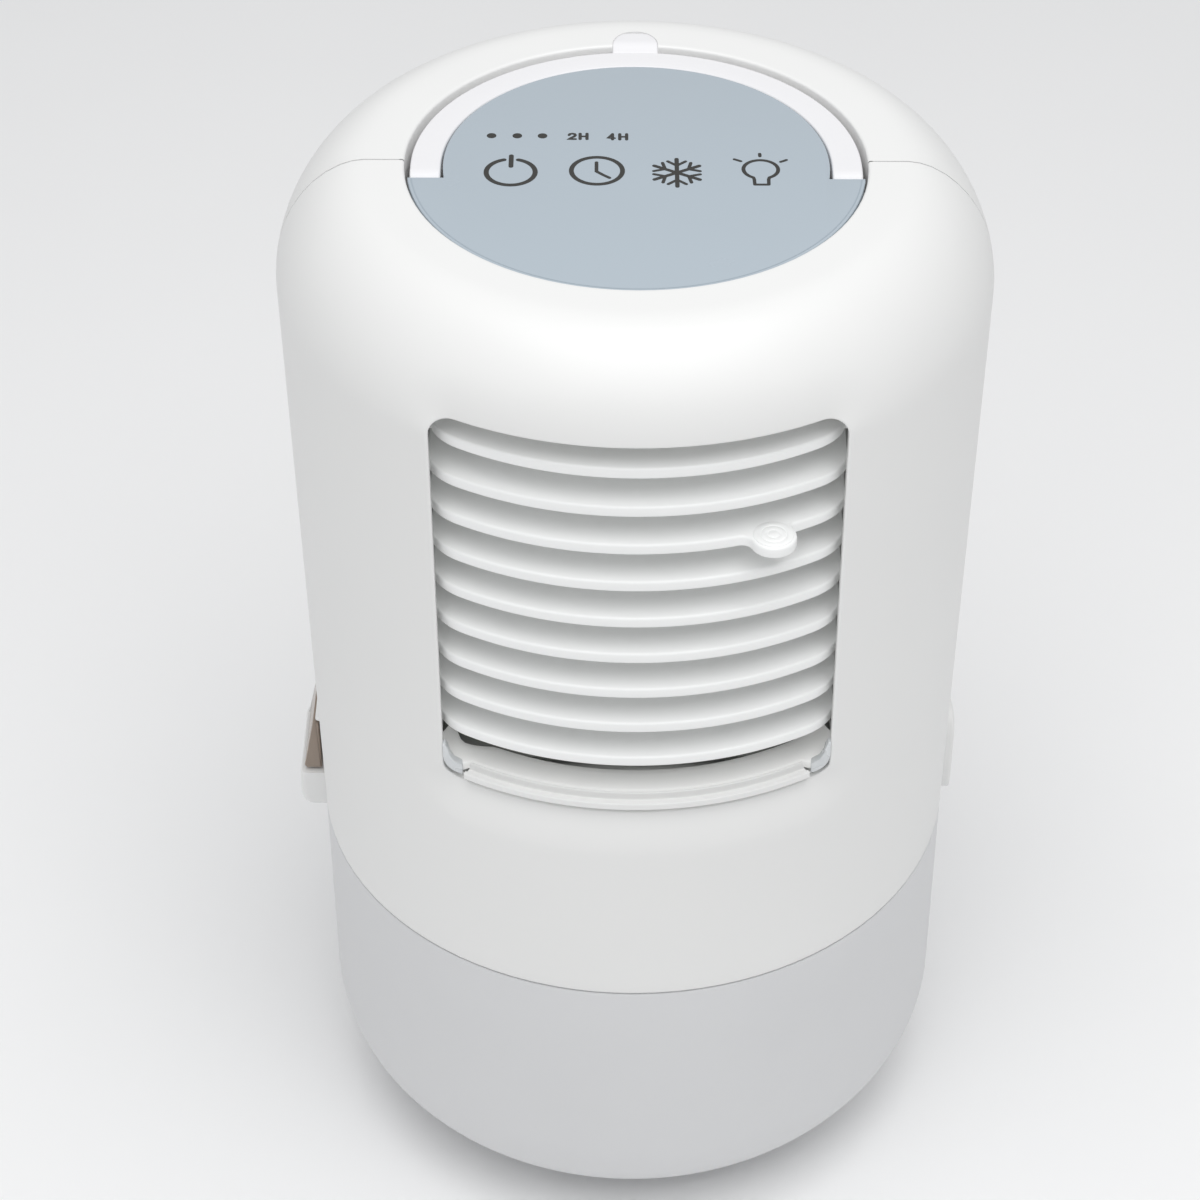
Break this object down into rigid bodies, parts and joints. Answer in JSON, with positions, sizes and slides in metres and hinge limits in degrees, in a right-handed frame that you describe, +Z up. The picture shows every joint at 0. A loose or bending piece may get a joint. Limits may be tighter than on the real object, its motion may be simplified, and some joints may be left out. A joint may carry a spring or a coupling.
{
  "type": "personal evaporative air cooler",
  "caption": "Cylindrical desktop air cooler with louvred front outlet, flush carry handle, touch panel, side fill spout and frosted water tank.",
  "frame": {"origin": "centre of the non-slip pad's underside, on the surface the cooler stands on", "axes": "+Z up along the round body's axis, -Y towards the louvred front, +X to the viewer's right when facing the front"},
  "size_m": [0.165, 0.1573, 0.2671],
  "materials": {
    "white_shell": "satin moulded ABS",
    "white_slat": "satin moulded ABS",
    "white_handle": "fine satin ABS",
    "frosted_tank": "frosted translucent plastic",
    "panel": "printed touch panel, semi-gloss",
    "clear": "translucent",
    "tinted": "tinted translucent",
    "grey_plastic": "satin",
    "dark_plastic": "satin",
    "rubber": "matt silicone",
    "steel": "bright",
    "board": "circuit board with solder mask",
    "lamp": "white lamp board",
    "filter": "evaporative pad, fibrous"
  },
  "bodies": {
    "tank": {"water_tank": "frosted_tank", "base_pad": "rubber"},
    "head": {"front_shell": "white_shell", "rear_shell": "white_shell", "chassis_tray": "white_shell", "tank_seal": "rubber", "lamp_board": "lamp", "top_deck": "white_shell", "touch_panel": "panel", "control_board": "board", "handle_pin_left": "steel", "handle_pin_right": "steel", "louvre_frame": "white_shell", "louvre_sill": "white_shell", "corner_lens_left": "clear", "corner_lens_right": "clear", "fan_shroud": "white_shell", "motor_bracket": "white_shell", "fan_motor": "steel", "drip_tray": "white_shell", "pump": "dark_plastic", "riser_tube": "clear", "power_board": "board", "inlet_plate": "white_shell", "inlet_socket": "dark_plastic", "fill_spout": "white_shell", "screw_1": "steel", "screw_2": "steel", "screw_3": "steel", "screw_4": "steel"},
    "handle": {"handle": "white_handle", "handle_lift_tab": "white_handle"},
    "fan": {"fan_rotor": "grey_plastic", "motor_shaft": "steel"},
    "filter_drawer": {"rear_grille": "white_shell", "filter_frame": "white_shell", "filter_pad": "filter"},
    "hopper": {"fill_hopper": "tinted"},
    "link": {"link_bar": "grey_plastic"},
    "slat_1": {"slat_1": "white_slat"},
    "slat_2": {"slat_2": "white_slat"},
    "slat_3": {"slat_3": "white_slat"},
    "slat_4": {"slat_4": "white_slat"},
    "slat_5": {"slat_5": "white_slat"},
    "slat_6": {"slat_6": "white_slat"},
    "slat_7": {"slat_7": "white_slat"},
    "slat_8": {"slat_8": "white_slat"},
    "slat_9": {"slat_9": "white_slat"}
  },
  "joints": [
    {"name": "head_lift", "type": "slide", "parent": "tank", "child": "head", "axis": [0, 0, 1], "range_m": [0, 0.12]},
    {"name": "handle_hinge", "type": "hinge", "parent": "head", "child": "handle", "pos_m": [0, -0.0021, 0.2626], "axis": [1, 0, 0], "range_deg": [0, 90]},
    {"name": "fan_spin", "type": "hinge", "parent": "head", "child": "fan", "pos_m": [0, -0.02, 0.19], "axis": [0, 1, 0], "continuous": true},
    {"name": "drawer_slide", "type": "slide", "parent": "head", "child": "filter_drawer", "axis": [0, 1, 0], "range_m": [0, 0.075]},
    {"name": "hopper_tilt", "type": "hinge", "parent": "head", "child": "hopper", "pos_m": [-0.0829, 0.014, 0.0911], "axis": [0, -1, 0], "range_deg": [0, 35]},
    {"name": "slat_1_tilt", "type": "hinge", "parent": "head", "child": "slat_1", "pos_m": [0, -0.056, 0.23835], "axis": [1, 0, 0], "range_deg": [-18, 18]},
    {"name": "slat_2_tilt", "type": "hinge", "parent": "head", "child": "slat_2", "pos_m": [0, -0.056, 0.22852], "axis": [1, 0, 0], "range_deg": [-18, 18]},
    {"name": "slat_3_tilt", "type": "hinge", "parent": "head", "child": "slat_3", "pos_m": [0, -0.056, 0.21869], "axis": [1, 0, 0], "range_deg": [-18, 18]},
    {"name": "slat_4_tilt", "type": "hinge", "parent": "head", "child": "slat_4", "pos_m": [0, -0.056, 0.20886], "axis": [1, 0, 0], "range_deg": [-18, 18]},
    {"name": "slat_5_tilt", "type": "hinge", "parent": "head", "child": "slat_5", "pos_m": [0, -0.056, 0.19903], "axis": [1, 0, 0], "range_deg": [-18, 18]},
    {"name": "slat_6_tilt", "type": "hinge", "parent": "head", "child": "slat_6", "pos_m": [0, -0.056, 0.1892], "axis": [1, 0, 0], "range_deg": [-18, 18]},
    {"name": "slat_7_tilt", "type": "hinge", "parent": "head", "child": "slat_7", "pos_m": [0, -0.056, 0.17937], "axis": [1, 0, 0], "range_deg": [-18, 18]},
    {"name": "slat_8_tilt", "type": "hinge", "parent": "head", "child": "slat_8", "pos_m": [0, -0.056, 0.16954], "axis": [1, 0, 0], "range_deg": [-18, 18]},
    {"name": "slat_9_tilt", "type": "hinge", "parent": "head", "child": "slat_9", "pos_m": [0, -0.056, 0.15971], "axis": [1, 0, 0], "range_deg": [-18, 18]},
    {"name": "link_swing", "type": "hinge", "parent": "slat_3", "child": "link", "pos_m": [0, -0.048, 0.21869], "axis": [1, 0, 0], "range_deg": [-18, 18]}
  ],
  "couplings": [
    {"joint": "slat_1_tilt", "follows": "slat_3_tilt", "ratio": 1},
    {"joint": "slat_2_tilt", "follows": "slat_3_tilt", "ratio": 1},
    {"joint": "slat_4_tilt", "follows": "slat_3_tilt", "ratio": 1},
    {"joint": "slat_5_tilt", "follows": "slat_3_tilt", "ratio": 1},
    {"joint": "slat_6_tilt", "follows": "slat_3_tilt", "ratio": 1},
    {"joint": "slat_7_tilt", "follows": "slat_3_tilt", "ratio": 1},
    {"joint": "slat_8_tilt", "follows": "slat_3_tilt", "ratio": 1},
    {"joint": "slat_9_tilt", "follows": "slat_3_tilt", "ratio": 1},
    {"joint": "link_swing", "follows": "slat_3_tilt", "ratio": -1}
  ]
}
